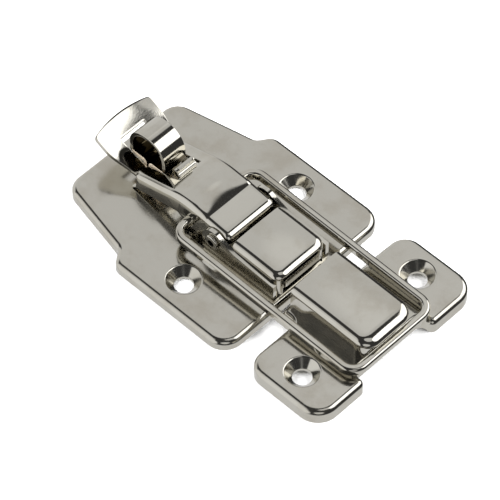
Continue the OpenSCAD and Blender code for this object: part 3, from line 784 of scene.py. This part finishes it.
def box_parts(half, far, front, top, foot, slope, flap, corner, reach, z):
    """Pressed box, open below and at its far end. Its rim is a profile, a wall and a round fold above it,
    carried along an outline of two sides and a front with rounded corners; the fold's height and length
    and the wall's lean follow the square of the outward normal's part along X. The top runs straight from
    the rim to a middle line. All of it is lowered by the squares of the way to the front and of the
    width, less and less down the walls."""
    corners = [(far, half, 0), (front, half, corner), (front, -half, corner), (far, -half, 0)]
    path, heading = rounded_path(corners, 24, False)
    run = np.concatenate([[0], np.cumsum(np.linalg.norm(np.diff(path, axis=0), axis=1))])
    post = run[-1] / 2 + np.array([-1, 1]) * (half - z.flap_post)
    s = np.unique(np.concatenate([run, np.linspace(0, run[-1], 90), post, post + (POST_STEP, -POST_STEP)]))
    path = np.stack([np.interp(s, run, path[:, k]) for k in (0, 1)], 1)
    turn = np.interp(s, run, heading)
    inward = np.stack([np.sin(turn), -np.cos(turn)], 1)
    facing = np.clip(-inward[:, 0], 0, 1) ** 2
    r = z.box_shoulder + (z.box_roll - z.box_shoulder) * facing
    lean = slope * facing
    a = -lean + (np.pi / 2 + lean) * np.linspace(0, 1, 15)[:, None]
    long = np.where(a > 0, z.box_shoulder + (reach - z.box_shoulder) * facing, r)
    depth, level = long * (1 - np.cos(a)), top - r * (1 - np.sin(a))
    low = np.where((s > post[0] + POST_STEP / 2) & (s < post[1] - POST_STEP / 2), flap, foot)
    depth = np.vstack([depth[0] + (level[0] - low) * np.tan(lean), depth])
    level = np.vstack([low, level])
    rim = path + depth[:, :, None] * inward
    spine = np.stack([np.minimum(rim[-1, :, 0], front - half), 0 * s], 1)
    cap = rim[-1] + np.linspace(0, 1, 13)[1:, None, None] * (spine - rim[-1])
    flat = np.concatenate([rim, cap])
    level = np.vstack([level, np.full(cap.shape[:2], top)])
    along = np.clip((flat[..., 0] - far) / (front - far), 0, 1)
    fall = z.box_bow * along**2 + z.box_crown * (flat[..., 1] / half) ** 2
    level = level - fall * (level - foot) / (top - foot)
    return [(np.dstack([flat, level]).reshape(-1, 3), grid_faces(*level.shape))]


def eye_parts(z):
    """Padlock eye: the strip's outer face is a path, from one foot up a leg, round the eye and down to
    the other foot, carried straight across the strip's width."""
    half = np.array(EYE_HALF)
    path, _ = rounded_path(np.concatenate([half, half[::-1] * (-1, 1, 1)]), 24, False)
    across = np.linspace(-z.eye_half, z.eye_half, 3)
    x = z.eye_x + path[:, :1] + 0 * across
    strip = np.stack([x, across + 0 * x, path[:, 1:] + 0 * x], -1)
    return [(strip.reshape(-1, 3), grid_faces(*x.shape))]


class LATCH_OT_plates(bpy.types.Operator):
    """Builds the base plate and the catch plate with their rolled rims and dimples."""

    bl_idname = "latch.plates"
    bl_label = "Plates"

    def execute(self, context):
        z = context.scene.latch_sizes
        paint = finish_of(context, "nickel_plate")
        for name, half, height, hole_x, hole_y in (
            ("base_plate", BASE_HALF, z.base_height, 0, z.base_hole_y),
            ("catch_plate", CATCH_HALF, z.catch_height, z.catch_hole_x, z.catch_hole_y),
        ):
            parts = plate_parts(mirrored(half), height, hole_x, hole_y, z)
            o = sheet_piece(name + "_sheet", parts, z, paint)
            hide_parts(name)
            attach(o, "base")
        return {"FINISHED"}


class LATCH_OT_lever(bpy.types.Operator):
    """Builds the lever with its crowned back and dished tab."""

    bl_idname = "latch.lever"
    bl_label = "Lever"

    def execute(self, context):
        z = context.scene.latch_sizes
        o = sheet_piece("lever_sheet", lever_parts(z), z, finish_of(context, "nickel_fold"))
        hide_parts("lever")
        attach(o, "lever")
        return {"FINISHED"}


class LATCH_OT_boxes(bpy.types.Operator):
    """Dresses the folded bracket and builds the cover and the hook."""

    bl_idname = "latch.boxes"
    bl_label = "Bracket, cover and hook"

    def execute(self, context):
        z = context.scene.latch_sizes
        paint = finish_of(context, "nickel_fold")
        keep("pivot_bracket", paint)
        cover = (z.cover_far, z.cover_front, z.cover_top, z.cover_foot, 0, z.flap_foot)
        hook = (z.hook_far, z.hook_front, z.hook_top, z.hook_foot, z.hook_slope, z.hook_foot)
        for name, shape, bend in (
            ("housing_cover", cover, (z.cover_corner, z.cover_reach)),
            ("catch_hook", hook, (z.hook_corner, z.hook_reach)),
        ):
            o = sheet_piece(name + "_sheet", box_parts(z.box_half, *shape, *bend, z), z, paint)
            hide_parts(name)
            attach(o, "base")
        return {"FINISHED"}


class LATCH_OT_eye(bpy.types.Operator):
    """Builds the padlock eye."""

    bl_idname = "latch.eye"
    bl_label = "Padlock eye"

    def execute(self, context):
        z = context.scene.latch_sizes
        o = sheet_piece("padlock_strip", eye_parts(z), z, eye_finish(context))
        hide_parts("padlock_staple")
        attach(o, "base")
        return {"FINISHED"}


class LATCH_OT_rods(bpy.types.Operator):
    """Dresses the loop and the pivot pin."""

    bl_idname = "latch.rods"
    bl_label = "Loop and pin"

    def execute(self, context):
        for name in ("bail_loop", "pivot_pin"):
            keep(name, finish_of(context, "nickel_rod"))
        return {"FINISHED"}


# What the plating mirrors: direction of a card's middle, half angle and soft edge in degrees, and
# brightness
CARDS = (
    ((-0.50, 0.47, 0.73), 23, 6, 0.68),
    ((-0.83, 0.44, 0.35), 24, 8, 0.70),
    ((-0.33, 0.44, 0.835), 2, 6, 0.8),
    ((0.36, 0.02, 0.93), 14.5, 1.5, 0.68),
    ((0.55, 0.48, 0.68), 20.8, 1.2, 2.1),
    ((0.25, 0.80, 0.52), 24, 3, 2.1),
    ((-0.43, -0.90, -0.05), 37, 5, 0.9),
    ((-0.43, -0.75, 0.45), 21, 7, 0.7),
    ((-0.95, 0.1, -0.25), 40, 15, 0.75),
    ((0.72, -0.66, 0.2), 16, 6, 0.7),
    ((0.0, 0.0, -1.0), 44, 16, 0.74),
)
DARK = 0.045
# Direction, distance, width and height in metres, and power in watts
LAMPS = (
    ("left_box", (-0.6, -0.6, 0.9), 1.4, (1.0, 1.0), 30),
    ("right_box", (0.7, 0.6, 0.9), 1.4, (1.0, 1.0), 30),
)


def studio_world():
    """Dark room with soft bright cards: each card is a smooth step of the cosine between a ray and the
    card's middle, and the brightest card shows."""
    world = bpy.data.worlds.new("studio")
    world.use_nodes = True
    tree = world.node_tree
    link = tree.links.new
    back = tree.nodes["Background"]
    place = node(tree, "ShaderNodeTexCoord")
    total = None
    for way, half, edge, glow in CARDS:
        dot = node(tree, "ShaderNodeVectorMath", operation="DOT_PRODUCT")
        dot.inputs[1].default_value = Vector(way).normalized()
        link(place.outputs["Generated"], dot.inputs[0])
        step = node(tree, "ShaderNodeMapRange", interpolation_type="SMOOTHSTEP")
        step.inputs["From Min"].default_value = math.cos(math.radians(half + edge))
        step.inputs["From Max"].default_value = math.cos(math.radians(half))
        step.inputs["To Max"].default_value = glow
        link(dot.outputs["Value"], step.inputs["Value"])
        best = node(tree, "ShaderNodeMath", operation="MAXIMUM")
        link(step.outputs["Result"], best.inputs[0])
        if total is None:
            best.inputs[1].default_value = DARK
        else:
            link(total.outputs["Value"], best.inputs[1])
        total = best
    link(total.outputs["Value"], back.inputs["Color"])
    return world


def area_light(name, place, aim, size, energy):
    """Soft rectangular lamp that faces a point."""
    data = bpy.data.lights.new(name, "AREA")
    data.shape = "RECTANGLE"
    data.size, data.size_y = size
    data.energy = energy
    lamp = bpy.data.objects.new(name, data)
    lamp.location = place
    lamp.rotation_mode = "QUATERNION"
    lamp.rotation_quaternion = (Vector(aim) - Vector(place)).to_track_quat("-Z", "Y")
    bpy.context.scene.collection.objects.link(lamp)
    return lamp


class LATCH_OT_stage(bpy.types.Operator):
    """Pale floor, studio light and the camera."""

    bl_idname = "latch.stage"
    bl_label = "Stage"

    def execute(self, context):
        s = context.scene.latch_stage
        half = FLOOR_HALF_M
        mesh = bpy.data.meshes.new("floor")
        mesh.from_pydata(
            [(-half, -half, 0), (half, -half, 0), (half, half, 0), (-half, half, 0)], [], [(0, 1, 2, 3)]
        )
        floor = bpy.data.objects.new("floor", mesh)
        context.scene.collection.objects.link(floor)
        paint = bpy.data.materials.new("floor_paint")
        paint.use_nodes = True
        shader = paint.node_tree.nodes["Principled BSDF"]
        shader.inputs["Base Color"].default_value = (*s.floor, 1)
        shader.inputs["Roughness"].default_value = 0.9
        mesh.materials.append(paint)
        floor.visible_glossy = False

        context.scene.world = studio_world()
        for name, way, distance, size, energy in LAMPS:
            lamp = area_light(name, Vector(way).normalized() * distance, (0, 0, 0), size, energy)
            lamp.visible_glossy = False

        az, el = s.azimuth, s.elevation
        back_way = Vector((math.sin(az) * math.cos(el), -math.cos(az) * math.cos(el), math.sin(el)))
        data = bpy.data.cameras.new("camera")
        data.sensor_width = SENSOR_MM
        data.lens = s.focal_px / IMAGE_PX * SENSOR_MM
        camera = bpy.data.objects.new("camera", data)
        camera.location = Vector(s.aim) + back_way * s.distance
        camera.rotation_mode = "QUATERNION"
        camera.rotation_quaternion = (-back_way).to_track_quat("-Z", "Y")
        context.scene.collection.objects.link(camera)
        context.scene.camera = camera
        context.scene.view_settings.view_transform = "Standard"
        return {"FINISHED"}


class LATCH_PT_panel(bpy.types.Panel):
    """Lists the latch's steps."""

    bl_label = "Draw latch"
    bl_idname = "LATCH_PT_panel"
    bl_space_type = "VIEW_3D"
    bl_region_type = "UI"
    bl_category = "Latch"

    def draw(self, context):
        for step in STEPS:
            self.layout.operator(step.bl_idname)


STEPS = (LATCH_OT_plates, LATCH_OT_lever, LATCH_OT_boxes, LATCH_OT_eye, LATCH_OT_rods, LATCH_OT_stage)
CLASSES = (LatchFinish, LatchSizes, LatchStage, *STEPS, LATCH_PT_panel)


def register():
    """Adds the classes and the scene's three groups of settings."""
    for c in CLASSES:
        bpy.utils.register_class(c)
    bpy.types.Scene.latch_finish = bpy.props.PointerProperty(type=LatchFinish)
    bpy.types.Scene.latch_sizes = bpy.props.PointerProperty(type=LatchSizes)
    bpy.types.Scene.latch_stage = bpy.props.PointerProperty(type=LatchStage)


def unregister():
    """Takes away what register added."""
    del bpy.types.Scene.latch_stage
    del bpy.types.Scene.latch_sizes
    del bpy.types.Scene.latch_finish
    for c in reversed(CLASSES):
        bpy.utils.unregister_class(c)


def main():
    """Builds the latch and its stage."""
    register()
    bpy.ops.latch.plates()
    bpy.ops.latch.lever()
    bpy.ops.latch.boxes()
    bpy.ops.latch.eye()
    bpy.ops.latch.rods()
    bpy.ops.latch.stage()


if __name__ == "__main__":
    main()
